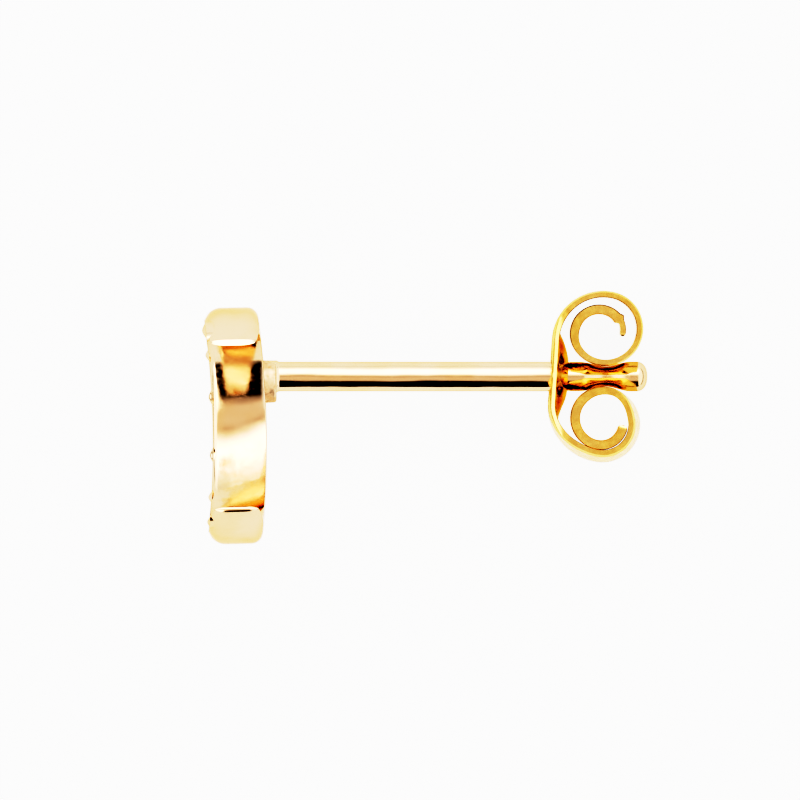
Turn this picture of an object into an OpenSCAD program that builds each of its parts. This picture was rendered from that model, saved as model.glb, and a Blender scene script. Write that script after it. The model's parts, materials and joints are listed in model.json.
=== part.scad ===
// Stud earring: a crescent setting with a mother-of-pearl inlay, a straight post and a butterfly clutch.
// It lies as it would by itself: the crescent stands on its round back with its mouth upwards, and the
// clutch stands on the long edge of its strip, so that the post is level.
// X runs along the post from the head to its tip, Y across, Z up. Lengths are in millimetres.
// The origin is under the middle of the whole stud, on the surface that it lies on.

/* [Crescent setting] */
// Diameter of the crescent's outer edge
crescent_d = 6.37; // [6:0.01:6.8]
// Widest part of the crescent's band, opposite the mouth
band_w = 1.62; // [1.5:0.01:1.8]
// Radius of the rounded horn tips
horn_r = 0.14; // [0.12:0.01:0.16]
// Gap between the two horn tips
mouth_w = 4.14; // [4.1:0.01:4.2]
// Thickness of the crescent, front to back
crescent_t = 1.46; // [1.2:0.01:1.7]
// Radius to which the crescent is bowed, its horns towards the front
bow_r = 29; // [24:1:60]
// Lean of the crescent on its post, in degrees
head_lean = 1.2; // [0:0.1:2]
// Thickness of the bezel, the wall round the recess
bezel_t = 0.18; // [0.16:0.01:0.2]
// Depth of the recess for the inlay
recess_depth = 0.5; // [0.3:0.01:0.7]
// Radius of the recess's rounded ends, which stop short of the horn tips
recess_tip_r = 0.1; // [0.08:0.01:0.12]
// Diameter of the grains on the front edge
grain_d = 0.42; // [0.3:0.01:0.44]
// Height above the crescent's middle of the grain near each horn tip
horn_grain_z = 1.6; // [1.45:0.05:1.65]
// How far a grain stands proud of the front
grain_proud = 0.07; // [0.04:0.01:0.1]

/* [Inlay] */
// Gap round and under the inlay
inlay_gap = 0.02; // [0.02:0.01:0.05]
// How far the inlay's face lies below the bezel's edge
inlay_sink = 0.06; // [0:0.01:0.15]

/* [Post] */
// Diameter of the post
post_d = 0.8; // [0.75:0.01:0.85]
// Length of the post from the middle of the crescent's back to the rounded tip
post_len = 10.28; // [9.5:0.01:11]
// Distance of the post's axis from the crescent's middle, towards one horn
post_rise = 1.31; // [1.2:0.01:1.4]
// Diameter of the solder pad where it is sunk into the crescent
pad_d = 1.18; // [1.14:0.01:1.2]
// Diameter of the pad's outer face
pad_end_d = 1.12; // [1.1:0.01:1.14]
// How far the pad stands out from the middle of the crescent's back
pad_len = 0.27; // [0.2:0.01:0.4]
// How far the pad's middle lies off the post's axis
pad_drop = 0.14; // [0.1:0.01:0.14]
// Diameter to which the post narrows from the clutch's plate to the middle of its groove
neck_d = 0.76; // [0.74:0.01:0.78]
// Diameter of the post at the bottom of its groove
groove_d = 0.54; // [0.5:0.01:0.7]
// Length of the groove
groove_len = 1.36; // [1:0.01:1.5]
// Distance of the groove's middle from the tip
groove_to_tip = 1.12; // [1.1:0.01:1.3]

/* [Butterfly clutch] */
// Width of the clutch's strip, which is also its height as it lies
strip_w = 2.52; // [2.5:0.01:2.54]
// Thickness of the strip
strip_t = 0.19; // [0.17:0.01:0.21]
// Distance from the plate's front to the post's tip
clutch_to_tip = 2.68; // [2.5:0.01:2.8]
// Height of the dish pressed into the plate
dish_h = 0.34; // [0.2:0.01:0.36]
// Diameter of the dish on the plate's back
dish_d = 2.44; // [2.3:0.01:2.46]
// Gap between the post and the hole that it runs in
hole_gap = 0.015; // [0.01:0.005:0.03]

/* [Hidden] */
$fn = 96;

gold = [0.93, 0.74, 0.36];
pearl = [0.93, 0.92, 0.88];

// Each scroll is a chain of arcs, and an arc passes into the next where their circles touch.
// A row is an arc: [radius of the strip's outer side, direction in which the arc ends].
// Directions are in degrees from the +X side, and the arcs run down from 180, clockwise.
UPPER_ARCS = [[1.375, 79], [1.01, -142], [0.785, -300], [0.66, -375]];
LOWER_ARCS = [[1.54,  97], [1.025, -100], [0.85, -250], [0.645, -360]];
// Middle of a scroll's first arc: its distance from the plate's front, and from the post's axis
upper_middle = [1.478, 0.932];
lower_middle = [1.54, 0.79];

// Longest step along an arc of the strip, in degrees, and number of steps round the strip's end
arc_step = 6;
end_steps = 6;

// Directions of the grains on the inner edge, from the middle of the inner circle
GRAIN_TURNS = [-47.5, -17.5, 17.5, 47.5];

crescent_r = crescent_d / 2;
post_r = post_d / 2;
grain_r = grain_d / 2;
hole_r = post_r + hole_gap;
pad_root = 0.15;
margin = 1;

// Middle of a horn tip's round, across and up from the crescent's middle
horn_y = mouth_w / 2 + horn_r;
horn_z = sqrt(pow(crescent_r - horn_r, 2) - pow(horn_y, 2));

// The inner circle touches both horn rounds and leaves the band at its widest below it
waist = crescent_r - band_w + horn_r;
inner_up = (pow(crescent_r - horn_r, 2) - pow(waist, 2)) / (2 * (horn_z + waist));
inner_r = crescent_r - band_w + inner_up;

// Depth of the crescent's front behind the bow's middle, at a distance y from the crescent's middle
function front_at(y) = sqrt(pow(bow_r - crescent_t, 2) - pow(y, 2)) - bow_r;

// Outermost corner of the leaning crescent, and the clutch's highest point above the post
corner_x = front_at(crescent_r) * cos(head_lean) - crescent_r * sin(head_lean);
corner_y = front_at(crescent_r) * sin(head_lean) - crescent_r * cos(head_lean);
upper_gap = UPPER_ARCS[0][0] - UPPER_ARCS[1][0];
clutch_top = upper_middle[1] + upper_gap * sin(UPPER_ARCS[0][1]) + UPPER_ARCS[1][0];

// Middle of the crescent's back, so that the origin is under the middle of the whole stud
head_x = -(corner_x + post_len) / 2;
head_y = -(corner_y + post_rise + clutch_top) / 2;
head_z = crescent_r;
post_y = head_y + post_rise;
post_z = strip_w / 2;
tip_x = head_x + post_len;
plate_x = tip_x - clutch_to_tip;

// Plate bowed towards the front, from depth_a to depth_b below the crescent's front
module bowed_plate(depth_a, depth_b) {
    front_r = bow_r - crescent_t;
    intersection() {
        translate([-bow_r, 0, -crescent_d])
            difference() {
                cylinder(r = front_r + depth_b, h = 2 * crescent_d);
                translate([0, 0, -margin]) cylinder(r = front_r + depth_a, h = 2 * crescent_d + 2 * margin);
            }
        translate([-2 * crescent_t, -crescent_d, -crescent_d]) cube([4 * crescent_t, 2 * crescent_d, 2 * crescent_d]);
    }
}

// Round rod along X, longer than the crescent is thick
module rod(y, z, r) {
    translate([-3 * crescent_t, y, z]) rotate([0, 90, 0]) cylinder(r = r, h = 6 * crescent_t);
}

// All that lies above two tips at y and z, down to the middle of the inner circle
module above_tips(y, z) {
    translate([-3 * crescent_t, 0, 0])
        rotate([90, 0, 90])
            linear_extrude(6 * crescent_t)
                polygon([
                    [0, inner_up],
                    [y, z], [2 * y, 2 * z], [2 * y, crescent_d],
                    [-2 * y, crescent_d], [-2 * y, 2 * z], [-y, z]
                ]);
}

// Crescent with its mouth upwards, from depth_a to depth_b below the front. Its outer and inner edges are set
// in by inset, and its tips are rounds of radius tip_r that touch both edges.
module bowed_crescent(inset, tip_r, depth_a, depth_b) {
    to_outer = crescent_r - inset - tip_r;
    to_inner = inner_r + inset + tip_r;
    tip_z = (pow(to_outer, 2) - pow(to_inner, 2) + pow(inner_up, 2)) / (2 * inner_up);
    tip_y = sqrt(pow(to_outer, 2) - pow(tip_z, 2));
    difference() {
        intersection() {
            bowed_plate(depth_a, depth_b);
            rod(0, 0, crescent_r - inset);
        }
        rod(0, inner_up, inner_r + inset);
        above_tips(tip_y, tip_z);
    }
    for (side = [-1, 1])
        intersection() {
            bowed_plate(depth_a, depth_b);
            rod(side * tip_y, tip_z, tip_r);
        }
}

// Ball with its poles along X
module ball(r) {
    rotate([0, 90, 0]) sphere(r);
}

// Grain on the bezel at a place across and up from the crescent's middle, made bigger by grow
module grain(y, z, grow) {
    translate([front_at(y) + grain_r - grain_proud, y, z]) ball(grain_r + grow);
}

// Four grains on the inner edge of the bezel, and one in the middle of each horn
module grains(grow) {
    row_r = inner_r + bezel_t / 2;
    outer_y = sqrt(pow(crescent_r, 2) - pow(horn_grain_z, 2));
    inner_y = sqrt(pow(inner_r, 2) - pow(horn_grain_z - inner_up, 2));
    for (side = [-1, 1])
        grain(side * (outer_y + inner_y) / 2, horn_grain_z, grow);
    for (turn = GRAIN_TURNS)
        grain(row_r * sin(turn), inner_up - row_r * cos(turn), grow);
}

module place_head() {
    translate([head_x, head_y, head_z]) rotate([0, 0, head_lean]) children();
}

// Post along +X from inside the crescent. It is straight up to the clutch's plate, narrows a little to the
// middle of the groove that the scrolls spring into, and has a round tip.
module post() {
    groove_depth = (post_d - groove_d) / 2;
    groove_arc = (pow(groove_len / 2, 2) + pow(groove_depth, 2)) / (2 * groove_depth);
    root = crescent_t / 2;
    straight = post_len - clutch_to_tip;
    middle = post_len - groove_to_tip;
    translate([head_x, post_y, post_z])
        rotate([0, 90, 0])
            difference() {
                union() {
                    translate([0, 0, -root]) cylinder(r = post_r, h = root + straight);
                    translate([0, 0, straight])
                        cylinder(r1 = post_r, r2 = neck_d / 2, h = middle - straight);
                    translate([0, 0, middle]) cylinder(r = post_r, h = groove_to_tip - post_r);
                    translate([0, 0, post_len - post_r]) sphere(post_r);
                }
                translate([0, 0, middle])
                    rotate_extrude() translate([groove_d / 2 + groove_arc, 0]) circle(groove_arc);
            }
}

module pad() {
    translate([head_x - pad_root, post_y - pad_drop, post_z])
        rotate([0, 90, 0]) cylinder(r1 = pad_d / 2, r2 = pad_end_d / 2, h = pad_root + pad_len);
}

module setting_and_post() {
    color(gold) {
        place_head() {
            difference() {
                bowed_crescent(0, horn_r, 0, crescent_t);
                bowed_crescent(bezel_t, recess_tip_r, -margin, recess_depth);
            }
            grains(0);
        }
        pad();
        post();
    }
}

module pearl_inlay() {
    color(pearl) place_head()
        difference() {
            bowed_crescent(bezel_t + inlay_gap, recess_tip_r - inlay_gap, inlay_sink, recess_depth - inlay_gap);
            grains(inlay_gap);
        }
}

function towards(turn) = [cos(turn), sin(turn)];

// Round end of the strip, from its outer side in direction b to its inner side
function round_end(middle, b) =
    [for (k = [1:end_steps - 1]) middle + strip_t / 2 * towards(b - 180 * k / end_steps)];

// Outline of a scroll from its arc number i on: along the strip's outer side, round its end, and back
// along its inner side. The arc starts in direction a round middle.
function scroll_outline(arcs, middle, a, i = 0) =
    let (
        r = arcs[i][0],
        b = arcs[i][1],
        steps = ceil((a - b) / arc_step),
        first = i == 0 ? 0 : 1,
        is_last = i + 1 == len(arcs)
    )
    concat(
        [for (k = [first:steps]) middle + r * towards(a + (b - a) * k / steps)],
        is_last ? round_end(middle + (r - strip_t / 2) * towards(b), b)
                : scroll_outline(arcs, middle + (r - arcs[i + 1][0]) * towards(b), b, i + 1),
        [for (k = [steps:-1:first]) middle + (r - strip_t) * towards(a + (b - a) * k / steps)]
    );

// The plate is the straight stretch that touches the first arcs of both scrolls
first_rise = upper_middle[1] + lower_middle[1];
first_shift = lower_middle[0] - upper_middle[0];
first_step = sqrt(pow(first_rise, 2) + pow(first_shift, 2));
plate_lean = asin((LOWER_ARCS[0][0] - UPPER_ARCS[0][0]) / first_step) - atan2(first_shift, first_rise);
plate_at_post = lower_middle[0] - (LOWER_ARCS[0][0] - lower_middle[1] * sin(plate_lean)) / cos(plate_lean);

// The whole strip seen along its width, with its plate's front near x = 0 and the post's axis at y = 0
module strip_outline() {
    upper = scroll_outline(UPPER_ARCS, upper_middle, 180 - plate_lean);
    lower = scroll_outline(LOWER_ARCS, lower_middle, 180 + plate_lean);
    polygon(concat(upper, [for (k = [len(lower) - 1:-1:0]) [lower[k][0], -lower[k][1]]]));
}

// Radius of the dish on the plate's back, from its width and height
dish_r = (pow(dish_d / 2, 2) + pow(dish_h, 2)) / (2 * dish_h);

// A ball whose cap is the dish, outside or inside
module dish_ball(r) {
    translate([plate_at_post, 0, 0]) rotate([0, 0, -plate_lean])
        translate([strip_t + dish_h - dish_r, 0, 0]) ball(r);
}

module dish_cap() {
    sunk = 0.02;
    intersection() {
        dish_ball(dish_r);
        translate([plate_at_post, 0, 0]) rotate([0, 0, -plate_lean])
            translate([strip_t - sunk, -dish_d, -dish_d]) cube([dish_h + margin, 2 * dish_d, 2 * dish_d]);
    }
}

module butterfly_clutch() {
    color(gold)
        translate([plate_x, post_y, post_z])
            difference() {
                union() {
                    translate([0, 0, -strip_w / 2]) linear_extrude(strip_w) strip_outline();
                    dish_cap();
                }
                dish_ball(dish_r - strip_t);
                translate([-margin, 0, 0]) rotate([0, 90, 0]) cylinder(r = hole_r, h = 4 * margin + clutch_to_tip);
            }
}

setting_and_post();
pearl_inlay();
butterfly_clutch();
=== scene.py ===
import json

import bmesh
import bpy
import numpy as np
from bpy.props import FloatProperty, FloatVectorProperty, PointerProperty
from bpy.types import Operator, Panel, PropertyGroup
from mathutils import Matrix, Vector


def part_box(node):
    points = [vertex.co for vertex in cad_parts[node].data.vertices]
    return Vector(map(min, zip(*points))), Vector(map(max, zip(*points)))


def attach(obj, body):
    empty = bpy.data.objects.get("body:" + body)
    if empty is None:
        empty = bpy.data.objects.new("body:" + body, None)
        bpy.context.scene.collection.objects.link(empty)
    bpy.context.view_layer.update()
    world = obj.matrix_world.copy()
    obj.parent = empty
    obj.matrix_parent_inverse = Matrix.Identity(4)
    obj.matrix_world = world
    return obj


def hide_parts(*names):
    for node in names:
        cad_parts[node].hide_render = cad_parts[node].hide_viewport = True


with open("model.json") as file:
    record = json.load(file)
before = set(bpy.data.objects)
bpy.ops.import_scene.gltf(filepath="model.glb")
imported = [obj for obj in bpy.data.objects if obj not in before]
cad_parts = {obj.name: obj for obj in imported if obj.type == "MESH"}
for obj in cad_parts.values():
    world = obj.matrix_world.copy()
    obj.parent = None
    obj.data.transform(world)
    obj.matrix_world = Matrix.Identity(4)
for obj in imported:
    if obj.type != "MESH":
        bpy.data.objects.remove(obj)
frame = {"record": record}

bl_info = {
    "name": "Mother-of-Pearl Stud Earring",
    "version": (1, 0, 0),
    "blender": (4, 5, 0),
    "location": "3D View > Sidebar > Earring",
    "description": "Crescent stud earring with a mother-of-pearl inlay and a butterfly clutch, as it lies",
    "category": "Object",
}

MM = 0.001
QUARTER = np.pi / 2

# Grids are welded where their points lie closer than this, in metres
WELD = 2e-7
# Edges that bend by more than this stay sharp, in degrees
SHARP_ANGLE = 40

# The frame's own measures, in metres
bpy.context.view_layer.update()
POST_AXIS = frame["record"]["mounts"][0]["pos_m"]
TIP_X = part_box("setting_and_post")[1].x


def labelled(kind, text, default, **settings):
    """A property whose text is its description and, up to the first comma, its name."""
    return kind(name=text.split(",")[0], description=text, default=default, **settings)


def mm(text, value):
    """A length, given in millimetres."""
    return labelled(FloatProperty, text, value * MM, precision=5, subtype="DISTANCE")


def turn(text, degrees):
    return labelled(FloatProperty, text, np.radians(degrees), subtype="ANGLE")


def number(text, value, high=1.0):
    return labelled(FloatProperty, text, value, min=0.0, max=high)


def colour(text, *tint):
    """A colour in linear red, green and blue."""
    return labelled(FloatVectorProperty, text, tint, size=3, min=0.0, max=1.0, subtype="COLOR")


class EARRING_PG_crescent(PropertyGroup):
    """Sizes of the crescent setting, its grains and its inlay."""

    diameter: mm("Diameter of the outer edge", 6.37)
    band: mm("Band, at its widest", 1.62)
    mouth: mm("Mouth, the gap between the horn tips", 4.3)
    horn_r: mm("Horn radius", 0.09)
    horn_least: mm("Least horn radius, front and rear", 0.02)
    thickness: mm("Thickness, front to back", 1.46)
    bow_r: mm("Bow radius, with the horns towards the front", 29)
    lean: turn("Lean, of the crescent on its post", 1.2)
    front_round: mm("Front rounding, across the front", 0.46)
    front_round_depth: mm("Front rounding depth, down the outer wall", 0.5)
    back_round: mm("Back rounding", 0.28)
    inner_round: mm("Inner rounding, across the front", 0.12)
    inner_round_depth: mm("Inner rounding depth, down the inner wall", 0.17)
    inner_back_round: mm("Inner back rounding", 0.035)
    horn_round: mm("Horn rounding, front and rear", 0.2)
    horn_round_depth: mm("Horn rounding depth", 0.55)
    recess_outer: mm("Outer bezel, from the outer edge to the inlay", 0.36)
    recess_inner: mm("Inner bezel, from the inner edge to the inlay", 0.2)
    recess_tip: mm("Recess tip radius", 0.1)
    recess_depth: mm("Recess depth", 0.5)
    lip_round: mm("Lip rounding, round the inlay", 0.035)
    inlay_gap: mm("Inlay gap, round and under the inlay", 0.02)
    inlay_sink: mm("Inlay sink, of its edge below the bezel", 0.09)
    inlay_crown: mm("Inlay crown, of its middle above its edge", 0.05)
    inlay_round: mm("Inlay rounding, of its upper edge", 0.05)
    grain_length: mm("Grain length", 0.62)
    grain_width: mm("Grain width, across the bezel", 0.2)
    grain_proud: mm("Grain height, above the front", 0.075)
    grain_foot: mm("Grain foot, below the front", 0.03)
    grain_sink: mm("Grain root, into the bezel", 0.25)
    grain_up: mm("Horn grain height, above the crescent's middle", 1.6)
    barrel: mm("Barrel, of the upper inner wall", 0.042)
    hollow: mm("Hollow, of the lower inner wall", 0.05)
    draft: mm("Draft, of that wall at the back", 0.105)
    twist: turn("Twist, of that wall towards the upper horn at the back", 6.5)
    tip_trim: turn("Tip trim, of the upper horn's outer edge", 0.5)
    tip_tilt: turn("Tip tilt, of that horn's end at its inner corner", 23)


class EARRING_PG_post(PropertyGroup):
    """Sizes of the post and its solder pad."""

    diameter: mm("Diameter of the wire", 0.8)
    length: mm("Length, from the crescent's back to the tip", 10.28)
    root: mm("Root, into the crescent", 0.5)
    rise: mm("Rise, of the post's axis from the crescent's middle", 1.31)
    neck: mm("Neck diameter, at the groove", 0.76)
    neck_length: mm("Neck length, up to the groove's middle", 1.56)
    groove: mm("Groove diameter", 0.54)
    groove_length: mm("Groove length", 1.36)
    groove_to_tip: mm("Groove to tip, from the groove's middle", 1.12)
    tip_round: mm("Tip length", 0.28)
    tip_power: number("Tip power, 1 for an ellipse and less for blunter", 0.8)
    fillet: mm("Fillet height, of the solder", 0.035)
    fillet_length: mm("Fillet length", 0.1)
    pad_d: mm("Pad diameter, at the crescent", 1.18)
    pad_end_d: mm("Pad end diameter", 1.12)
    pad_length: mm("Pad length", 0.27)
    pad_root: mm("Pad root, into the crescent", 0.3)
    pad_drop: mm("Pad offset, from the post's axis", 0.14)
    pad_round: mm("Pad rounding", 0.07)


class EARRING_PG_clutch(PropertyGroup):
    """Sizes of the butterfly clutch."""

    width: mm("Strip width", 2.52)
    thickness: mm("Strip thickness", 0.19)
    edge_width: mm("Edge width, of the wide bevel", 0.045)
    edge_depth: mm("Edge depth, of that bevel", 0.06)
    inner_edge: mm("Inner edge, of the fine bevel", 0.012)
    to_tip: mm("Clutch to tip, from the plate's front", 2.68)
    dish_height: mm("Dish height", 0.34)
    dish_d: mm("Dish diameter, on the plate's back", 2.44)
    dish_soft: mm("Dish softness, at its rim", 0.02)
    hole_gap: mm("Hole gap, round the post", 0.015)
    hole_round: mm("Hole rounding", 0.025)
    taper: mm("Taper, of the lower scroll's near edge", 0.16)
    burr: mm("Burr height", 0.055)
    plate_fall: mm("Plate fall, of its near edge", 0.13)
    plate_reach: mm("Plate reach, to where that edge is level", 1.9)
    plate_fade: mm("Plate fade, over which it becomes level", 0.8)


class EARRING_PG_finish(PropertyGroup):
    """Colours and gloss of the two materials."""

    gold: colour("Gold", 0.87, 0.72, 0.57)
    gold_deep: colour("Deep gold", 0.86, 0.695, 0.52)
    clutch_gold: colour("Clutch gold, a deeper yellow", 0.93, 0.76, 0.46)
    clutch_gold_deep: colour("Deep clutch gold", 0.92, 0.73, 0.39)
    gold_edge: colour("Gold edge, seen at a grazing angle", 0.95, 0.84, 0.68)
    gold_roughness: number("Gold roughness", 0.13)
    clutch_roughness: number("Clutch roughness", 0.16)
    solder_roughness: number("Solder roughness", 0.55)
    pearl: colour("Pearl", 0.70, 0.69, 0.66)
    pearl_rose: colour("Rose lustre", 0.76, 0.57, 0.60)
    pearl_green: colour("Green lustre", 0.50, 0.69, 0.63)
    pearl_cloud: colour("Pale cloud", 0.80, 0.79, 0.76)
    pearl_roughness: number("Pearl roughness", 0.16)
    pearl_film: number("Film thickness, in nanometres", 420, high=1000)


class EARRING_PG_stage(PropertyGroup):
    """The floor, the light and the camera."""

    camera_height: mm("Camera height, above the floor", 600)
    view_width: mm("View width, at the height of the post", 21.6)
    view_x: mm("View middle along the post", -0.6815)
    view_y: mm("View middle across the post", 0.4797)
    floor_size: mm("Floor size", 4000)
    floor_grey: number("Floor grey, how much light it sends back", 0.05)
    floor_glow: number("Floor glow, of the lit table under it", 1.2, high=10)
    light: number("Light strength", 2.4, high=10)
    fill: number("Fill, the least brightness towards the post's tip", 0.55)
    tip_end: number("Tip end, the brightness past the post's tip", 0.6)
    head_end: number("Head end, the brightness past the crescent", 0.7)
    low_card: number("Low cards, at both ends of the post", 0.3)


def smooth(t):
    """Smooth step: 0 below 0, 1 above 1, and 3t2 - 2t3 between."""
    t = np.clip(t, 0.0, 1.0)
    return t * t * (3 - 2 * t)


def blend(first, second, share):
    """The first value where share is 0, the second where it is 1, and a mix between."""
    return first * (1 - share) + second * share


def polar(radius, angle, rise=0.0):
    """Points at a radius and an angle from straight down, about a middle that lies up by the rise."""
    return np.stack([radius * np.sin(angle), rise - radius * np.cos(angle)], axis=-1)


def grid_faces(rows, columns, wrap, start):
    """Quads of a grid of points that are numbered row by row, joined across its ends where it wraps."""
    index = start + np.arange(rows * columns).reshape(rows, columns)
    if wrap:
        index = np.hstack([index, index[:, :1]])
    return np.stack([index[:-1, :-1], index[:-1, 1:], index[1:, 1:], index[1:, :-1]], axis=-1)


def make_piece(name, patches, material, body, node):
    """Joins grids of points into one closed mesh and shows it in place of a CAD node.

    A patch is an array of points (rows, columns, 3), whether its columns wrap round, and a mask of the faces
    that are kept, or None.
    """
    points, faces = [], []
    start = 0
    for grid, wrap, keep in patches:
        rows, columns = grid.shape[:2]
        quads = grid_faces(rows, columns, wrap, start)
        faces.append(quads.reshape(-1, 4) if keep is None else quads[keep])
        points.append(grid.reshape(-1, 3))
        start += rows * columns
    mesh = bpy.data.meshes.new(name)
    mesh.from_pydata(np.vstack(points).tolist(), [], np.vstack(faces).tolist())
    work = bmesh.new()
    work.from_mesh(mesh)
    bmesh.ops.remove_doubles(work, verts=work.verts, dist=WELD)
    loose = [vertex for vertex in work.verts if not vertex.link_faces]
    bmesh.ops.delete(work, geom=loose, context="VERTS")
    bmesh.ops.recalc_face_normals(work, faces=work.faces)
    open_edges = sum(1 for edge in work.edges if len(edge.link_faces) != 2)
    work.to_mesh(mesh)
    work.free()
    if open_edges:
        raise RuntimeError(f"{name} has {open_edges} open edges")
    mesh.shade_smooth()
    mesh.set_sharp_from_angle(angle=np.radians(SHARP_ANGLE))
    mesh.materials.append(material)
    piece = bpy.data.objects.new(name, mesh)
    bpy.context.scene.collection.objects.link(piece)
    flats = piece.modifiers.new("flat faces stay flat", "WEIGHTED_NORMAL")
    flats.keep_sharp = True
    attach(piece, body)
    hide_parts(node)


def stud_metal(name, patches, material):
    """Adds a metal piece of the stud, which is one soldered solid in the frame."""
    make_piece(name, patches, material, "stud", "setting_and_post")


def revolve(profile, middle, steps=96):
    """Patch of a profile, distances along X and a radius at each, turned right round a line along X."""
    along, radius = (part[:, None] for part in profile)
    angle = np.linspace(0, 2 * np.pi, steps, endpoint=False)
    grid = np.stack([along + 0 * angle, radius * np.cos(angle), radius * np.sin(angle)], axis=-1)
    return [(grid + middle, True, None)]


class Crescent:
    """The crescent's plan and its place, worked out from a few sizes."""

    ARC_STEPS = 84
    TIP_STEPS = 12
    # Share of an edge, from the middle of the band, where the rounding starts to change to the horn's
    HORN_START = 0.7
    # Share of the points of a sharp horn's end that lie before its corner
    CORNER = 0.75

    def __init__(self, scene):
        sizes, post = scene.earring_crescent, scene.earring_post
        self.sizes = sizes
        self.outer_r = sizes.diameter / 2
        horn_y = sizes.mouth / 2 + sizes.horn_r
        horn_z = np.sqrt((self.outer_r - sizes.horn_r) ** 2 - horn_y**2)
        waist = self.outer_r - sizes.band + sizes.horn_r
        self.inner_up = ((self.outer_r - sizes.horn_r) ** 2 - waist**2) / (2 * (horn_z + waist))
        self.inner_r = self.outer_r - sizes.band + self.inner_up
        self.middle = (TIP_X - post.length, POST_AXIS[1] - post.rise, self.outer_r)
        self.recess = np.repeat([sizes.recess_outer, sizes.recess_inner], 2)
        self.share = np.linspace(0, 1, self.ARC_STEPS + 1)
        self.horn = smooth((self.share - self.HORN_START) / (1 - self.HORN_START))

    def outline(self, insets, tip_r):
        """Closed outlines of the crescent, one for each row: y and z from its middle. The upper horn's end
        has a sharp inner corner, and the lower horn's is plainly round."""
        half = self.half_outline(insets, tip_r, True)
        mirrored = self.half_outline(insets, tip_r, False)[:, -2:0:-1] * [-1, 1]
        return np.concatenate([half, mirrored], axis=1)

    def half_outline(self, insets, tip_r, sharp):
        """The right half of the outlines, one for each row.

        A row of insets is for the outer edge, the outer edge at the horn, the inner edge at the horn and the
        inner edge. Each edge runs round its circle's middle from straight down. The horn's end is sharp, or
        a round whose middle is where the circles that run tip_r inside both edges cross.
        """
        outer, outer_horn, inner_horn, inner = np.asarray(insets, float).T[:, :, None]
        tip_r = np.asarray(tip_r, float)[:, None]
        to_outer = self.outer_r - outer_horn - tip_r
        to_inner = self.inner_r + inner_horn + tip_r
        tip_z = (to_outer**2 - to_inner**2 + self.inner_up**2) / (2 * self.inner_up)
        tip_y = np.sqrt(to_outer**2 - tip_z**2)
        tip = np.stack([tip_y, tip_z], axis=-1)
        outer_end = np.arctan2(tip_y, -tip_z)
        inner_end = np.arctan2(tip_y, self.inner_up - tip_z)
        if sharp:
            outer_end = outer_end - self.sizes.tip_trim

        outer_r = self.outer_r - blend(outer, outer_horn, self.horn)
        inner_r = self.inner_r + blend(inner, inner_horn, self.horn)
        outer_edge = polar(outer_r, outer_end * self.share)
        inner_edge = polar(inner_r, inner_end * self.share, self.inner_up)
        share = np.linspace(0, 1, 2 * self.TIP_STEPS + 1)[1:-1]
        if sharp:
            corner = tip + tip_r[..., None] * [-1, 1]
            end = self.sharp_end(outer_edge[:, -1:], corner, inner_edge[:, -1:], outer_end, share[:, None])
        else:
            end = tip + polar(tip_r, blend(outer_end, inner_end + np.pi, share))
        return np.concatenate([outer_edge, end, inner_edge[:, ::-1]], axis=1)

    def sharp_end(self, start, corner, inner, outer_end, share):
        """A parabola that leaves in line with the outer edge and comes to the corner at the tip's tilt, and
        a straight line from there to the inner edge."""
        tilt = self.sizes.tip_tilt
        across = np.array([np.sin(tilt), np.cos(tilt)])
        leave = np.stack([np.cos(outer_end), np.sin(outer_end)], axis=-1)
        knee = start + ((corner - start) @ across / (leave @ across))[..., None] * leave
        t = np.minimum(share / self.CORNER, 1)
        down = np.maximum(share - self.CORNER, 0) / (1 - self.CORNER)
        curve = (1 - t) ** 2 * start + 2 * t * (1 - t) * knee + t**2 * corner
        return blend(curve, inner, down)

    def depth_shares(self):
        """How much of the outer edge's, the horn's and the inner edge's depth each outline point takes."""
        tip = np.ones(2 * self.TIP_STEPS - 1)
        at_outer = np.hstack([1 - self.horn, 0 * tip, 0 * self.horn])
        at_horn = np.hstack([self.horn, tip, self.horn[::-1]])
        half = np.stack([at_outer, at_horn, at_outer[::-1]])
        return np.hstack([half, half[:, -2:0:-1]])

    def place(self, plan, depth):
        """Points at a depth behind the bowed front, which is part of a cylinder that stands upright behind
        the crescent, turned by the lean and moved to the crescent's place."""
        sizes = self.sizes
        y, z = plan[..., 0], plan[..., 1]
        x = np.sqrt((sizes.bow_r - sizes.thickness + depth) ** 2 - y**2) - sizes.bow_r
        turned_x = x * np.cos(sizes.lean) - y * np.sin(sizes.lean)
        turned_y = x * np.sin(sizes.lean) + y * np.cos(sizes.lean)
        return np.stack([turned_x, turned_y, z], axis=-1) + self.middle

    def ladder(self, outline, columns):
        """Fills one closed outline with straight rows of points from the outer edge to the inner edge, from
        one horn's end round to the other's."""
        half = len(outline) // 2 + 1
        rungs = (half - 1) // 2
        right = outline[:half]
        left = np.roll(outline, -1, axis=0)[::-1][:half]
        outer = np.vstack([left[rungs:0:-1], right[: rungs + 1]])
        inner = np.vstack([left[rungs:-1], right[: rungs - 1 : -1]])
        across = np.linspace(0, 1, columns + 1)[:, None]
        return blend(outer[:, None], inner[:, None], across)

    def edge_rows(self, start, end, steps, front):
        """Rows over a rounded edge, as insets and depths, from one angle from the wall to another."""
        sizes = self.sizes
        angle = np.linspace(start, end, steps)[:, None]
        if front:
            outer, outer_down = sizes.front_round, sizes.front_round_depth
            inner, inner_down = sizes.inner_round, sizes.inner_round_depth
        else:
            outer = outer_down = sizes.back_round
            inner = inner_down = sizes.inner_back_round
        insets = np.array([outer, sizes.horn_round, sizes.horn_round, inner]) * (1 - np.cos(angle))
        depths = np.array([outer_down, sizes.horn_round_depth, inner_down]) * (1 - np.sin(angle))
        return insets, depths if front else sizes.thickness - depths

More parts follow.
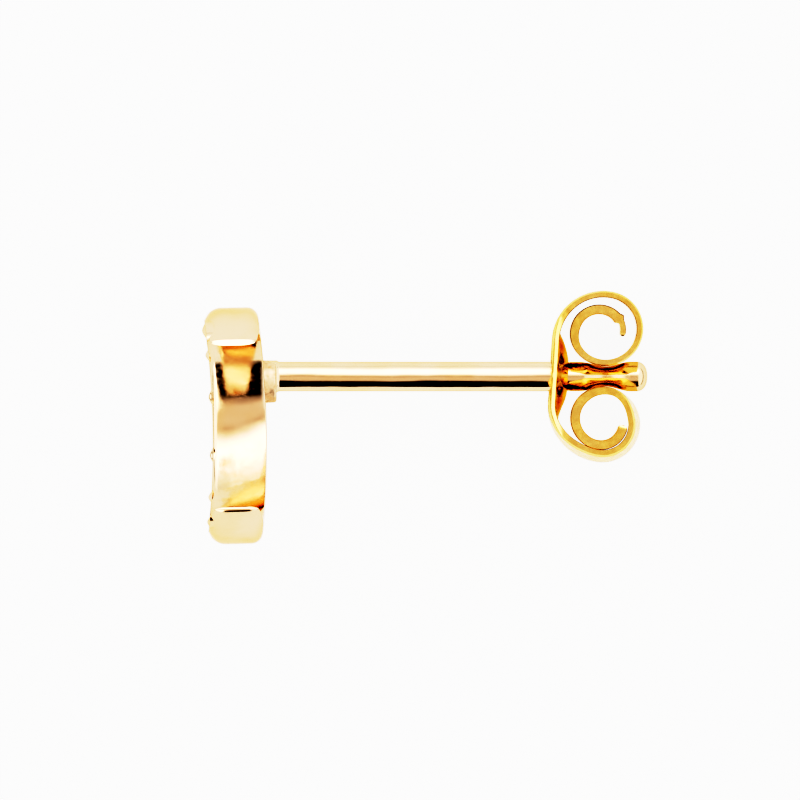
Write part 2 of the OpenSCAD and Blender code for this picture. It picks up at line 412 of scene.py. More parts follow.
    def shape_inner_wall(self, walls, depths, front):
        """Moves the inner wall's points, where front is each row's share of the way to the front.

        The upper half bulges by the barrel, as a parabola from back to front. The lower half is hollowed in
        the same way, drawn in at the back by the draft, and moved towards the upper horn by its depth times
        the twist's tangent. The halves mix over a stretch as long as the crescent is thick.
        """
        sizes = self.sizes
        at_inner = self.depth_shares()[2]
        upper = smooth(0.5 + walls[..., 0] / sizes.thickness)
        lower = 1 - upper
        swell = (sizes.barrel * upper - sizes.hollow * lower) * (1 - (2 * front - 1) ** 2)
        inward = (swell + sizes.draft * lower * (1 - front)) * at_inner
        walls -= inward[..., None] * (walls - [0, self.inner_up]) / self.inner_r
        walls[..., 0] += depths * np.tan(sizes.twist) * at_inner * lower


# How much of a quarter turn the front edge's rounding takes, before the face
FRONT_TURN = 0.85


def crescent_setting(crescent):
    """Patches of the crescent: rings of outlines from the back, over the wall, to the recess, and fills."""
    sizes = crescent.sizes
    back_edge = crescent.edge_rows(QUARTER, 0, 9, front=False)
    front_edge = crescent.edge_rows(0, FRONT_TURN * QUARTER, 11, front=True)
    between = np.linspace(0, 1, 9)[1:-1, None]
    insets, depths = [
        np.vstack([back, blend(back[-1], front[0], between), front])
        for back, front in zip(back_edge, front_edge)
    ]
    walls = crescent.outline(insets, np.maximum(sizes.horn_r - insets[:, 1], sizes.horn_least))
    wall_depths = depths @ crescent.depth_shares()
    crescent.shape_inner_wall(walls, wall_depths, 1 - depths[:, 2:] / sizes.thickness)

    lip = sizes.lip_round * (1 - np.sin(np.linspace(0, QUARTER, 5)))
    edge = crescent.outline(crescent.recess - lip[:, None], sizes.recess_tip + lip)
    edge_depths = lip[::-1, None] * np.ones(edge.shape[1])

    across = np.linspace(0, 1, 6)[1:-1, None, None]
    face = blend(walls[-1], edge[0], across)
    face_depths = wall_depths[-1] * (1 - across[:, :, 0]) ** 2
    floor_depth = np.full((1, edge.shape[1]), sizes.recess_depth)

    plan = np.concatenate([walls, face, edge, edge[-1:]])
    depth = np.vstack([wall_depths, face_depths, edge_depths, floor_depth])
    back = crescent.ladder(walls[0], 14)
    floor = crescent.ladder(edge[-1], 8)
    return [
        (crescent.place(plan, depth), True, None),
        (crescent.place(back, sizes.thickness), False, None),
        (crescent.place(floor, sizes.recess_depth), False, None),
    ]


def crescent_inlay(crescent):
    """Patches of the inlay: a thin plate with rounded edges in the recess. Its face is crowned by a parabola
    across it, lower where the plate is narrow."""
    sizes = crescent.sizes
    angle = np.linspace(0, QUARTER, 6)
    inset = sizes.inlay_gap + sizes.inlay_round * np.hstack([0, 1 - np.cos(angle)])
    wall = crescent.outline(crescent.recess + inset[:, None], sizes.recess_tip - inset)
    bottom = sizes.recess_depth - sizes.inlay_gap
    depths = np.hstack([bottom, sizes.inlay_sink + sizes.inlay_round * (1 - np.sin(angle))])[:, None]
    face = crescent.ladder(wall[-1], 12)
    width = np.linalg.norm(face[:, -1] - face[:, 0], axis=-1)[:, None]
    across = np.linspace(0, 1, face.shape[1])
    crown = sizes.inlay_crown * 4 * across * (1 - across) * (width / width.max()) ** 2
    return [
        (crescent.place(wall, depths * np.ones(wall.shape[1])), True, None),
        (crescent.place(crescent.ladder(wall[0], 4), bottom), False, None),
        (crescent.place(face, sizes.inlay_sink - crown), False, None),
    ]


# Turns of the grains on the inner edge from the band's middle, in degrees, and their place across the bezel
GRAIN_TURNS = [-47.5, -17.5, 17.5, 47.5]
GRAIN_ROW = 0.6
# Size and height of the grains on the lower and the upper horn, as shares of the others'
HORN_GRAINS = [(1.0, 0.6), (1.5, 1.0)]
# Width of a grain's root as a share of the grain's
GRAIN_ROOT = 0.9


def crescent_grains(crescent):
    """Patches of the grains: low mounds with short roots, four on the inner edge and one in the middle of
    each horn."""
    sizes = crescent.sizes
    row_r = crescent.inner_r + GRAIN_ROW * sizes.recess_inner
    places = [(polar(row_r, a, crescent.inner_up), a, 1.0, 1.0) for a in np.radians(GRAIN_TURNS)]
    up = sizes.grain_up
    outer_y = np.sqrt(crescent.outer_r**2 - up**2)
    inner_y = np.sqrt(crescent.inner_r**2 - (up - crescent.inner_up) ** 2)
    for side, (scale, rise) in zip((-0.5, 0.5), HORN_GRAINS):
        y = side * (outer_y + inner_y)
        places.append(([y, up], np.arctan2(y, -up), scale, rise))
    share = np.linspace(0, 1, 21)
    width = np.hstack([share, GRAIN_ROOT, 0])[:, None]
    angle = np.linspace(0, 2 * np.pi, 48, endpoint=False)
    along = (width * sizes.grain_length / 2 * np.cos(angle))[..., None]
    across = (width * sizes.grain_width / 2 * np.sin(angle))[..., None]
    patches = []
    for middle, a, scale, rise in places:
        height = (sizes.grain_proud * rise + sizes.grain_foot) * (1 - smooth(share)) - sizes.grain_foot
        depth = np.hstack([-height, sizes.grain_sink, sizes.grain_sink])[:, None]
        plan = along * polar(1.0, a + QUARTER) + across * polar(1.0, a)
        patches.append((crescent.place(plan * scale + middle, depth), True, None))
    return patches


def post_profile(sizes):
    """Distances along the post from the crescent's back, and its radius at each.

    The radius is the wire's, falls in a straight line to the neck's at the groove's middle, and passes back
    to the wire's. The groove takes a raised cosine off it, and the fillet adds a parabola. The tip is a
    quarter ellipse, made blunter by the tip's power.
    """
    wire = sizes.diameter / 2
    middle = sizes.length - sizes.groove_to_tip
    half_groove = sizes.groove_length / 2
    end = sizes.length - sizes.tip_round
    along = np.sort(np.hstack([np.linspace(-sizes.root, end, 400), middle]))
    radius = wire - (wire - sizes.neck / 2) * np.clip((along - middle) / sizes.neck_length + 1, 0, 1)
    radius = blend(radius, wire, smooth((along - middle) / half_groove))
    near = np.clip((along - middle) / half_groove, -1, 1)
    radius = radius - (sizes.neck - sizes.groove) / 2 * (0.5 + 0.5 * np.cos(np.pi * near))
    flare = np.clip((sizes.pad_length - along) / sizes.fillet_length + 1, 0, 1)
    radius = radius + sizes.fillet * flare**2
    angle = np.linspace(0, QUARTER, 13)[1:]
    tip_along = end + sizes.tip_round * np.sin(angle)
    tip_radius = wire * np.cos(angle) ** sizes.tip_power
    tip_radius[-1] = 0
    return np.hstack([along[:1], along, tip_along]), np.hstack([0, radius, tip_radius])


def pad_profile(sizes):
    """Distances along the solder pad and its radius at each: a low cone with a rounded outer edge."""
    angle = np.linspace(0, QUARTER, 8)
    edge_x = sizes.pad_length - sizes.pad_round * (1 - np.sin(angle))
    edge_r = sizes.pad_end_d / 2 - sizes.pad_round * (1 - np.cos(angle))
    along = np.hstack([-sizes.pad_root, -sizes.pad_root, edge_x, sizes.pad_length])
    return along, np.hstack([0, sizes.pad_d / 2, edge_r, 0])


# Each scroll is a chain of arcs whose circles touch. A row is an arc: the radius of the strip's outer side
# in millimetres, and the direction in which the arc ends, in degrees.
UPPER_ARCS = [(1.375, 79), (1.01, -142), (0.785, -300), (0.66, -368)]
LOWER_ARCS = [(1.54, 97), (1.025, -100), (0.85, -262), (0.72, -345)]
# Middle of a scroll's first arc, in millimetres from the plate's front and from the post's axis
UPPER_MIDDLE = (1.478, 0.932)
LOWER_MIDDLE = (1.54, 0.79)
# Degrees from one point of an arc to the next
ARC_STEP = 4.0
# Changes of the strip's thickness along a scroll: how much, and the directions where it starts and ends
UPPER_THICK = [(-0.1, 150, 90), (0.45, -110, -210), (-0.55, -330, -342)]
LOWER_THICK = [(0.35, -60, -140)]
# Directions where the wider bevel starts to go and is gone: the inner turns have only the fine one
UPPER_PLAIN = (-70, -130)
LOWER_PLAIN = (-30, -90)
# Directions between which the lower scroll's near edge is drawn in, and those where it comes back
DRAWN_IN = (180, 110)
DRAWN_BACK = (-10, -80)
# Direction of the burr, and how far it spreads
BURR_AT = -327
BURR_SPREAD = 5


def past(direction, start, end):
    """How far a scroll's direction is past a stretch: 0 up to its start, and 1 from its end."""
    return smooth((start - direction) / (start - end))


def thickness(direction, changes):
    """Thickness of the strip at a scroll's direction, as a share of the plate's."""
    return 1 + sum(change * past(direction, start, end) for change, start, end in changes)


def scroll_path(arcs, middle, start, strip_t):
    """Middle line of a scroll from the plate to its inner end, its outward directions, and these in degrees.
    From one arc to the next, the middle moves along the last direction by the difference of the radii."""
    middle = np.array(middle) * MM
    path, outward, turns = [], [], []
    for index, (radius, end) in enumerate(arcs):
        steps = int(np.ceil((start - end) / ARC_STEP))
        degrees = np.linspace(start, end, steps + 1)[index > 0 :]
        angle = np.radians(degrees)
        direction = np.stack([np.cos(angle), np.sin(angle)], axis=-1)
        turns.append(degrees)
        path.append(middle + (radius * MM - strip_t / 2) * direction)
        outward.append(direction)
        if index + 1 < len(arcs):
            middle = middle + (radius - arcs[index + 1][0]) * MM * direction[-1]
        start = end
    return np.vstack(path), np.vstack(outward), np.hstack(turns)


class Strip:
    """The clutch's strip: a bevelled rectangle carried along the scrolls and the plate between them."""

    # Half the side of the square round the hole, and the cells along that side
    BLOCK = 0.6 * MM
    BLOCK_CELLS = 8
    # Cells from the square to the edge's bevel, and rows of a rounded end
    SIDE_CELLS = 4
    END_STEPS = 6
    # How much narrower the strip's ends are on each side, as a share of the bevel's depth
    END_DRAW = 0.6
    # Share of the half width, from the middle, where the plate's near edge starts to fall away
    FALL_START = 0.8
    # Power of the hole's flare towards its edges
    FLARE_POWER = 6

    def __init__(self, sizes):
        self.sizes = sizes
        self.half_t = sizes.thickness / 2
        self.half_w = sizes.width / 2
        rise = UPPER_MIDDLE[1] + LOWER_MIDDLE[1]
        shift = LOWER_MIDDLE[0] - UPPER_MIDDLE[0]
        wider = LOWER_ARCS[0][0] - UPPER_ARCS[0][0]
        self.lean = np.arcsin(wider / np.hypot(rise, shift)) - np.arctan2(shift, rise)
        lean = np.degrees(self.lean)
        upper, upper_out, upper_turn = scroll_path(UPPER_ARCS, UPPER_MIDDLE, 180 - lean, sizes.thickness)
        lower, lower_out, lower_turn = scroll_path(LOWER_ARCS, LOWER_MIDDLE, 180 + lean, sizes.thickness)
        lower, lower_out = lower * [1, -1], lower_out * [1, -1]
        self.along = np.array([np.sin(self.lean), np.cos(self.lean)])
        front_x = lower[0, 0] - lower[0, 1] * np.tan(self.lean) - self.half_t / np.cos(self.lean)
        self.out = upper_out[0]
        self.centre = np.array([front_x, 0]) - self.out * self.half_t
        self.block = np.linspace(-self.BLOCK, self.BLOCK, self.BLOCK_CELLS + 1)
        spare = np.linspace(self.BLOCK, (upper[0] - self.centre) @ self.along, 4)[1:-1]
        plate = self.centre + np.hstack([self.block, spare])[:, None] * self.along
        self.path = np.vstack([lower[::-1], plate, upper])
        self.outward = np.vstack([lower_out[::-1], np.tile(self.out, (len(plate), 1)), upper_out])
        steps = np.linalg.norm(np.diff(self.path, axis=0), axis=1)
        travelled = np.hstack([0, np.cumsum(steps)])
        self.block_row = len(lower)
        self.s = travelled - travelled[self.block_row] - self.BLOCK

        drawn = past(lower_turn, *DRAWN_IN) * (1 - past(lower_turn, *DRAWN_BACK))
        burr = sizes.burr * np.exp(-(((upper_turn - BURR_AT) / BURR_SPREAD) ** 2))
        # Each is a value at every point of the path: the lower scroll's, the plate's and the upper scroll's
        self.along_path = [
            np.hstack([low[::-1], np.full(len(plate), flat), high])
            for low, flat, high in (
                (1 - past(lower_turn, *LOWER_PLAIN), 1.0, 1 - past(upper_turn, *UPPER_PLAIN)),
                (thickness(lower_turn, LOWER_THICK), 1.0, thickness(upper_turn, UPPER_THICK)),
                (drawn * sizes.taper, 0.0, 0 * upper_turn),
                (0 * lower_turn, 0.0, burr),
            )
        ]

    def dish(self, s, z, share):
        """How far the dish moves the strip inwards: two caps of balls with one middle, mixed by share, which
        is 1 on the strip's outer side and 0 on its inner, and cut off softly at the plate."""
        sizes = self.sizes
        ball_r = ((sizes.dish_d / 2) ** 2 + sizes.dish_height**2) / (2 * sizes.dish_height)
        inner, outer = [
            np.sqrt(np.maximum(r**2 - s**2 - z**2, 0)) + sizes.dish_height - r
            for r in (ball_r, ball_r - sizes.thickness)
        ]
        cap = blend(inner, outer, share)
        soft = sizes.dish_soft
        return (cap + np.sqrt(cap**2 + soft**2)) / 2 - soft**2 / 4 / (np.abs(cap) + soft)

    def section(self, *bevels):
        """Closed section of the strip, as distances outwards and across, from the outer face on. The outer
        and the inner side's bevels are each a width and a depth."""
        side = np.linspace(self.BLOCK, self.half_w - self.sizes.edge_depth, self.SIDE_CELLS + 1)[1:]
        face = np.hstack([-side[::-1], self.block, side])
        face = np.stack([np.full(len(face), self.half_t), face])
        share = np.array([0.5, 1.0])
        outer, inner = [
            np.stack([self.half_t - width * share, self.half_w - depth * (1 - share)])
            for width, depth in bevels
        ]
        middle = [[0], [self.half_w]]
        to_inner, to_outer = [(bevel * [[-1], [1]])[:, ::-1] for bevel in (inner, outer)]
        return np.hstack([face, outer, middle, to_inner, -np.hstack([face, inner, middle, to_outer])])

    def place(self, path, outward, s, out, z, shift=0.0):
        """Points of the strip: the middle line moved outwards by out and the shift, less the dish, at z."""
        share = (out + self.half_t) / (2 * self.half_t)
        offset = out + shift - self.dish(s, z, share)
        plan = path + outward * offset[..., None]
        return np.stack([plan[..., 0], plan[..., 1], z + np.zeros_like(out)], axis=-1)

    def strip(self, hole_r):
        """Patch of the strip: the section carried along the path, with rounded ends and a square left out
        round the hole. A shallow channel in each scroll clears the post."""
        sizes = self.sizes
        wide = (sizes.edge_width, sizes.edge_depth)
        fine = (sizes.inner_edge, 2 * sizes.inner_edge)
        # At an end, where both sides meet, the distances across are the same on both
        even = self.section(wide, wide)[1]
        angle = np.linspace(0, QUARTER, self.END_STEPS + 1)[1:]
        reach = self.half_t * np.sin(angle)
        thin = np.hstack([np.cos(angle)[::-1], np.ones(len(self.path)), np.cos(angle)])
        thin[[0, -1]] = 0
        tangent = np.stack([self.outward[:, 1], -self.outward[:, 0]], axis=-1)
        start = self.path[0] - reach[::-1, None] * tangent[0]
        end = self.path[-1] + reach[:, None] * tangent[-1]
        path = np.vstack([start, self.path, end])
        outward = np.pad(self.outward, ((len(reach), len(reach)), (0, 0)), "edge")
        s = np.hstack([self.s[0] - reach[::-1], self.s, self.s[-1] + reach])[:, None]
        bevelled, thick, taper, burr = [np.pad(row, len(reach), "edge")[:, None] for row in self.along_path]
        out, across = blend(self.section(fine, fine)[:, None], self.section(wide, fine)[:, None], bevelled)
        thin = thin[:, None]
        out = thin * out
        outer_share = 0.5 + out / sizes.thickness
        near = smooth((across / self.half_w - self.FALL_START) / (1 - self.FALL_START)) * outer_share**2
        fall = sizes.plate_fall * near * smooth((sizes.plate_reach - np.abs(s)) / sizes.plate_fade)
        drawn = self.END_DRAW * sizes.edge_depth * (1 - thin) * np.sign(across)
        z = even + (across - even) * thin - drawn - fall
        shift = (out - self.half_t) * (thick - 1) - taper * (0.5 + z / sizes.width) + burr * outer_share
        points = self.place(path[:, None], outward[:, None], s, out, z, shift)
        clear = np.sqrt(np.maximum(hole_r**2 - points[..., 2] ** 2, 0))
        points[..., 1] = np.where(points[..., 1] < 0, -1, 1) * np.maximum(np.abs(points[..., 1]), clear)
        keep = np.ones((len(path) - 1, out.shape[1]), bool)
        row = self.block_row + len(reach)
        for first in (self.SIDE_CELLS, self.SIDE_CELLS + out.shape[1] // 2):
            keep[row : row + self.BLOCK_CELLS, first : first + self.BLOCK_CELLS] = False
        return points, True, keep

    def hole(self, radius, side):
        """Rings from the square round the hole straight to its circle, on the plate's outer (1) or inner
        (-1) side."""
        ring = self.block[:-1]
        full = np.full(self.BLOCK_CELLS, self.BLOCK)
        s = np.hstack([ring, full, -ring, -full])
        z = np.hstack([-full, ring, full, -ring])
        angle = np.arctan2(z, s)
        sunk = side * self.half_t - self.dish(radius, 0, (side + 1) / 2)
        shift = -(self.centre[1] + self.out[1] * sunk) / np.cos(self.lean)
        t = np.linspace(0, 1, 7)[:, None]
        ring_s = blend(s, shift + radius * np.cos(angle) / np.cos(self.lean), t)
        ring_z = blend(z, radius * np.sin(angle), t)
        path = self.centre + ring_s[..., None] * self.along
        return self.place(path, self.out, ring_s, np.full(ring_s.shape, side * self.half_t), ring_z)

    def patches(self, hole_r):
        """Patches of the strip, the rings round the hole, and the hole's wall, which flares to its edges."""
        wide_r = hole_r + self.sizes.hole_round
        outer, inner = self.hole(wide_r, 1), self.hole(wide_r, -1)
        t = np.linspace(0, 1, 9)[:, None, None]
        wall = blend(outer[-1], inner[-1], t)
        flare = self.sizes.hole_round * (1 - np.sqrt(1 - np.abs(2 * t - 1) ** self.FLARE_POWER))
        wall[..., 1:] *= (hole_r + flare) / wide_r
        return [self.strip(hole_r)] + [(grid, True, None) for grid in (outer, inner, wall)]


class Nodes:
    """Short ways to add nodes to a tree and join them."""

    def __init__(self, owner):
        owner.use_nodes = True
        self.tree = owner.node_tree
        self.tree.nodes.clear()

    def add(self, kind, inputs=(), **settings):
        node = self.tree.nodes.new(kind)
        for name, value in settings.items():
            setattr(node, name, value)
        for name, value in dict(inputs).items():
            self.put(value, node.inputs[name])
        return node

    def put(self, value, socket):
        if isinstance(value, bpy.types.NodeSocket):
            self.tree.links.new(value, socket)
        else:
            socket.default_value = value

    def math(self, operation, *values):
        node = self.add("ShaderNodeMath", operation=operation)
        for socket, value in zip(node.inputs, values):
            self.put(value, socket)
        return node.outputs[0]

    def spread(self, value, low, high, to_low=0.0, to_high=1.0, kind="SMOOTHSTEP"):
        """Carries a value from one span to another."""
        inputs = {"Value": value, "From Min": low, "From Max": high, "To Min": to_low, "To Max": to_high}
        return self.add("ShaderNodeMapRange", inputs, interpolation_type=kind).outputs[0]

    def noise(self, scale, detail, rough=0.5, stretch=(1, 1, 1), distortion=0.0):
        """Noise over the piece's own coordinates in millimetres, squeezed or stretched along an axis."""
        place = self.add("ShaderNodeTexCoord").outputs["Object"]
        inputs = {"Vector": place, "Scale": [1000 * factor for factor in stretch]}
        inputs = {
            "Vector": self.add("ShaderNodeMapping", inputs).outputs[0], "Scale": scale, "Detail": detail,
            "Roughness": rough, "Distortion": distortion,
        }
        return self.add("ShaderNodeTexNoise", inputs).outputs["Fac"]

    def bump(self, height, distance, strength=1.0):
        inputs = {"Strength": strength, "Distance": distance, "Height": height}
        return self.add("ShaderNodeBump", inputs).outputs[0]

    def mix(self, share, first, second, kind="MIX"):
        """A colour between two: sockets 6 and 7 are the mix node's two colours, and output 2 its colour."""
        node = self.add("ShaderNodeMix", {"Factor": share}, data_type="RGBA", blend_type=kind)
        self.put(first, node.inputs[6])
        self.put(second, node.inputs[7])
        return node.outputs[2]

    def show(self, inputs, kind="ShaderNodeBsdfPrincipled", output="ShaderNodeOutputMaterial"):
        """Adds a shader and the output that shows it."""
        self.add(output, {"Surface": self.add(kind, inputs).outputs[0]})


def opaque(tint):
    return (*tint, 1.0)


def grey(level):
    return (level, level, level, 1.0)


def gold_material(name, finish, brush, tones=None, roughness=None, waves=5.0, ripples=(1, 1, 1)):
    """Polished gold plating: a slightly uneven tone, fine wear in the gloss, and faint hairs and waves."""
    light, deep = tones or (finish.gold, finish.gold_deep)
    rough = roughness or finish.gold_roughness
    material = bpy.data.materials.new(name)
    nodes = Nodes(material)
    tone = nodes.spread(nodes.noise(scale=0.9, detail=2.0), 0.35, 0.65)
    wear = nodes.noise(scale=5.0, detail=5.0, rough=0.6)
    ripple = nodes.noise(scale=1.3, detail=2.0, stretch=ripples)
    hairs = nodes.noise(scale=9.0, detail=4.0, rough=0.6, stretch=brush)
    height = nodes.math("ADD", nodes.math("MULTIPLY", ripple, waves), nodes.math("MULTIPLY", hairs, 0.22))
    nodes.show({
        "Base Color": nodes.mix(tone, opaque(light), opaque(deep)), "Metallic": 1.0,
        "Roughness": nodes.spread(wear, 0.35, 0.75, rough * 0.7, rough * 1.6),
        "Normal": nodes.bump(height, distance=1.2e-6), "Specular Tint": opaque(finish.gold_edge),
    })
    return material


def pearl_material(finish):
    """Mother-of-pearl: soft rose and green bands that follow wavy growth layers, under a clear polish."""
    material = bpy.data.materials.new("mother_of_pearl")
    nodes = Nodes(material)
    layers = nodes.noise(scale=0.55, detail=3.0, rough=0.55, stretch=(1, 1.5, 0.7), distortion=1.6)
    cloud = nodes.noise(scale=1.7, detail=4.0, rough=0.6, distortion=0.8)
    wave = nodes.math("SINE", nodes.math("MULTIPLY", layers, 46.0))
    base = opaque(finish.pearl)
    for value, low, high, most, tint in (
        (wave, -0.2, 1.0, 0.75, finish.pearl_rose), (wave, 0.2, -1.0, 0.65, finish.pearl_green),
        (cloud, 0.4, 0.7, 0.5, finish.pearl_cloud),
    ):
        base = nodes.mix(nodes.spread(value, low, high, 0.0, most), base, opaque(tint))
    nodes.show({
        "Base Color": base, "Roughness": finish.pearl_roughness, "IOR": 1.58,
        "Normal": nodes.bump(nodes.math("MULTIPLY", wave, 0.5), distance=1.5e-6, strength=0.6),
        "Subsurface Weight": 0.25, "Subsurface Scale": 0.2 * MM, "Subsurface Radius": (1.0, 0.9, 0.8),
        "Coat Weight": 0.6, "Coat Roughness": 0.05, "Sheen Weight": 0.15,
        "Thin Film Thickness": finish.pearl_film, "Thin Film IOR": 1.45,
    })
    return material


def floor_material(stage):
    """Plain pale floor over a lit table: a matt surface that glows evenly."""
    material = bpy.data.materials.new("pale_floor")
    Nodes(material).show({
        "Base Color": grey(stage.floor_grey), "Roughness": 1.0, "Specular IOR Level": 0.0,
        "Emission Color": grey(1.0), "Emission Strength": stage.floor_glow,
    })
    return material


# Brightness of the studio round the post's direction, as shares of the light: the angle in degrees from
# straight up, towards the picture's top, and the brightness there. A white screen stands on that side, the
# camera's dim hood is overhead, and a dark card stands on the other side.
CARD = [(-100, 0.38), (-92, 0.32), (-86, 0.08), (-81, 0.01)]
SCREEN = CARD + [
    (-41, 0.01), (-35, 0.26), (-28, 0.43), (-10, 0.43), (0, 0.36), (8, 0.48), (18, 0.70), (30, 0.92),
    (50, 0.92), (66, 0.60), (85, 0.47), (100, 0.48),
]
# The same for directions that lean a little towards the head, where the hood is brighter
NEAR_SCREEN = CARD + [
    (-42, 0.01), (-36, 0.22), (-28, 0.43), (-10, 0.45), (0, 0.48), (8, 0.56), (18, 0.75), (30, 0.95),
    (50, 0.95), (66, 0.62), (85, 0.47), (100, 0.48),
]
# The same for directions that lean more towards the head: a small white screen takes the dark card's place
SIDE_SCREEN = [
    (-100, 0.5), (-88, 0.9), (-30, 1.1), (-18, 0.5), (0, 0.4), (8, 0.5), (18, 0.72), (30, 0.92),
    (50, 0.92), (66, 0.7), (85, 0.6), (100, 0.6),
]
# Tint of the hood, and the angles between which it is overhead
HOOD_TINT = (1.0, 0.9, 0.83)
HOOD = (-45, 12)
# Tone of the picture: light in the scene, and how bright it is shown. Dim tones are deepened.
TONE = [
    (0, 0), (0.2, 0.004), (0.27, 0.02), (0.34, 0.05), (0.426, 0.12), (0.53, 0.26), (0.666, 0.5),
    (0.83, 0.73), (1.0, 0.86), (1.2, 1.01), (2, 1.4),
]


def screen_ramp(nodes, around, screen):
    """The colour of a screen at an angle, where around is 0 at -180 degrees and 1 at 180."""
    ramp = nodes.add("ShaderNodeValToRGB", {"Fac": around})
    for degrees, level in screen:
        tint = HOOD_TINT if HOOD[0] < degrees < HOOD[1] else (1.0, 1.0, 1.0)
        ramp.color_ramp.elements.new(degrees / 360 + 0.5).color = opaque(level * part for part in tint)
    return ramp.outputs["Color"]


def studio_light(stage):
    """Soft studio light: a world whose brightness follows the angle round the post's direction, with other
    screens towards the post's two ends, and low dark cards past them."""
    world = bpy.data.worlds.new("studio")
    nodes = Nodes(world)
    direction = nodes.add("ShaderNodeTexCoord").outputs["Generated"]
    part = nodes.add("ShaderNodeSeparateXYZ", {"Vector": direction}).outputs
    along, up = part["X"], part["Z"]
    around = nodes.spread(nodes.math("ARCTAN2", part["Y"], up), -np.pi, np.pi, kind="LINEAR")
    light, near, side = [screen_ramp(nodes, around, screen) for screen in (SCREEN, NEAR_SCREEN, SIDE_SCREEN)]
    filled = nodes.mix(1.0, light, grey(stage.fill), kind="LIGHTEN")
    # The leans along the post where a screen starts to show and where it alone shows, and the screen
    for start, end, screen in (
        (0.2, 0.3, filled), (-0.04, -0.13, near), (-0.15, -0.21, side), (0.25, 0.6, grey(stage.tip_end)),
        (-0.25, -0.6, grey(stage.head_end)),
    ):
        light = nodes.mix(nodes.spread(along, start, end), light, screen)
    low = nodes.math("MULTIPLY", nodes.spread(up, 0.32, 0.16), nodes.math("ABSOLUTE", along))
    light = nodes.mix(nodes.spread(low, 0.45, 0.7), light, grey(stage.low_card))
    nodes.show({"Color": light, "Strength": stage.light}, "ShaderNodeBackground", "ShaderNodeOutputWorld")
    return world


def picture_tone(view):
    """Shows the picture through a contrast curve over the standard view."""
    view.view_transform = "Standard"
    view.use_curve_mapping = True
    mapping = view.curve_mapping
    mapping.use_clip = False
    points = mapping.curves[3].points
    for index, place in enumerate(TONE):
        if index < len(points):
            points[index].location = place
        else:
            points.new(*place)
    mapping.update()


class EARRING_OT_setting(Operator):
    """Add the crescent setting"""

    bl_idname = "earring.setting"
    bl_label = "Crescent Setting"

    def execute(self, context):
        gold = gold_material("cast_gold", context.scene.earring_finish, (1, 0.3, 0.3))
        stud_metal("crescent_setting", crescent_setting(Crescent(context.scene)), gold)
        return {"FINISHED"}


class EARRING_OT_grains(Operator):
    """Add the grains that hold the inlay"""

    bl_idname = "earring.grains"
    bl_label = "Grains"

    def execute(self, context):
        gold = gold_material("grain_gold", context.scene.earring_finish, (1, 1, 1))
        stud_metal("grains", crescent_grains(Crescent(context.scene)), gold)
        return {"FINISHED"}


class EARRING_OT_inlay(Operator):
    """Add the mother-of-pearl inlay"""

    bl_idname = "earring.inlay"
    bl_label = "Mother-of-Pearl Inlay"

    def execute(self, context):
        patches = crescent_inlay(Crescent(context.scene))
        pearl = pearl_material(context.scene.earring_finish)
        make_piece("pearl_plate", patches, pearl, "stud", "pearl_inlay")
        return {"FINISHED"}


class EARRING_OT_post(Operator):
    """Add the post and its solder pad"""

    bl_idname = "earring.post"
    bl_label = "Post and Solder Pad"

    def execute(self, context):
        sizes = context.scene.earring_post
        finish = context.scene.earring_finish
        middle = np.array([TIP_X - sizes.length, POST_AXIS[1], POST_AXIS[2]])
        drawn = gold_material("drawn_gold", finish, (0.06, 1, 1), waves=32.0, ripples=(0.35, 1, 1))
        stud_metal("post", revolve(post_profile(sizes), middle), drawn)
        solder = gold_material("solder_gold", finish, (1, 1, 1), roughness=finish.solder_roughness)
        stud_metal("solder_pad", revolve(pad_profile(sizes), middle - [0, sizes.pad_drop, 0]), solder)
        return {"FINISHED"}


class EARRING_OT_clutch(Operator):
    """Add the butterfly clutch"""

    bl_idname = "earring.clutch"
    bl_label = "Butterfly Clutch"

    def execute(self, context):
        sizes = context.scene.earring_clutch
        finish = context.scene.earring_finish
        hole_r = context.scene.earring_post.diameter / 2 + sizes.hole_gap
        place = np.array([TIP_X - sizes.to_tip, POST_AXIS[1], POST_AXIS[2]])
        patches = [(grid + place, wrap, keep) for grid, wrap, keep in Strip(sizes).patches(hole_r)]
        tones = (finish.clutch_gold, finish.clutch_gold_deep)
        rolled = gold_material("rolled_gold", finish, (1, 1, 0.15), tones, finish.clutch_roughness)
        make_piece("scroll_clutch", patches, rolled, "clutch", "butterfly_clutch")
        return {"FINISHED"}


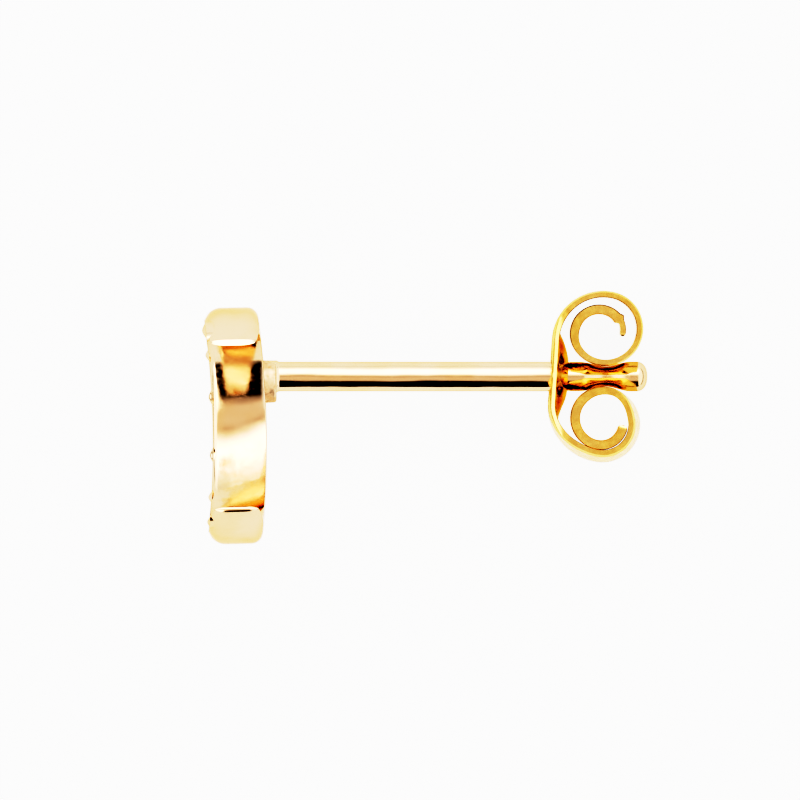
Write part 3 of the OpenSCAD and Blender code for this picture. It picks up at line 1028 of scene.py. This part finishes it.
class EARRING_OT_stage(Operator):
    """Add the pale floor, the soft studio light and the camera"""

    bl_idname = "earring.stage"
    bl_label = "Stage"

    def execute(self, context):
        scene = context.scene
        stage = scene.earring_stage
        half = stage.floor_size / 2
        corners = [(-half, -half, 0), (half, -half, 0), (half, half, 0), (-half, half, 0)]
        mesh = bpy.data.meshes.new("floor")
        mesh.from_pydata(corners, [], [(0, 1, 2, 3)])
        mesh.materials.append(floor_material(stage))
        floor = bpy.data.objects.new("floor", mesh)
        scene.collection.objects.link(floor)
        scene.world = studio_light(stage)
        camera_data = bpy.data.cameras.new("camera")
        distance = stage.camera_height - POST_AXIS[2]
        camera_data.lens = camera_data.sensor_width * distance / stage.view_width
        camera_data.clip_start = 0.01
        camera_data.clip_end = 10.0
        camera = bpy.data.objects.new("camera", camera_data)
        camera.location = (stage.view_x, stage.view_y, stage.camera_height)
        scene.collection.objects.link(camera)
        scene.camera = camera
        picture_tone(scene.view_settings)
        return {"FINISHED"}


OPERATORS = (
    EARRING_OT_setting, EARRING_OT_grains, EARRING_OT_inlay, EARRING_OT_post, EARRING_OT_clutch,
    EARRING_OT_stage,
)
GROUPS = {
    "earring_crescent": EARRING_PG_crescent,
    "earring_post": EARRING_PG_post,
    "earring_clutch": EARRING_PG_clutch,
    "earring_finish": EARRING_PG_finish,
    "earring_stage": EARRING_PG_stage,
}


class EARRING_PT_panel(Panel):
    """Lists the earring's pieces, sizes and colours"""

    bl_label = "Stud Earring"
    bl_idname = "EARRING_PT_panel"
    bl_space_type = "VIEW_3D"
    bl_region_type = "UI"
    bl_category = "Earring"

    def draw(self, context):
        for operator in OPERATORS:
            self.layout.operator(operator.bl_idname)
        for name, group in GROUPS.items():
            box = self.layout.box()
            box.label(text=name.replace("earring_", "").title())
            for key in group.__annotations__:
                box.prop(getattr(context.scene, name), key)


def register():
    for name, group in GROUPS.items():
        bpy.utils.register_class(group)
        setattr(bpy.types.Scene, name, PointerProperty(type=group))
    for operator in OPERATORS:
        bpy.utils.register_class(operator)
    bpy.utils.register_class(EARRING_PT_panel)


def unregister():
    bpy.utils.unregister_class(EARRING_PT_panel)
    for operator in reversed(OPERATORS):
        bpy.utils.unregister_class(operator)
    for name, group in GROUPS.items():
        delattr(bpy.types.Scene, name)
        bpy.utils.unregister_class(group)


def main():
    """Registers the add-on and builds the earring piece by piece."""
    register()
    bpy.ops.earring.setting()
    bpy.ops.earring.grains()
    bpy.ops.earring.inlay()
    bpy.ops.earring.post()
    bpy.ops.earring.clutch()
    bpy.ops.earring.stage()


if __name__ == "__main__":
    main()
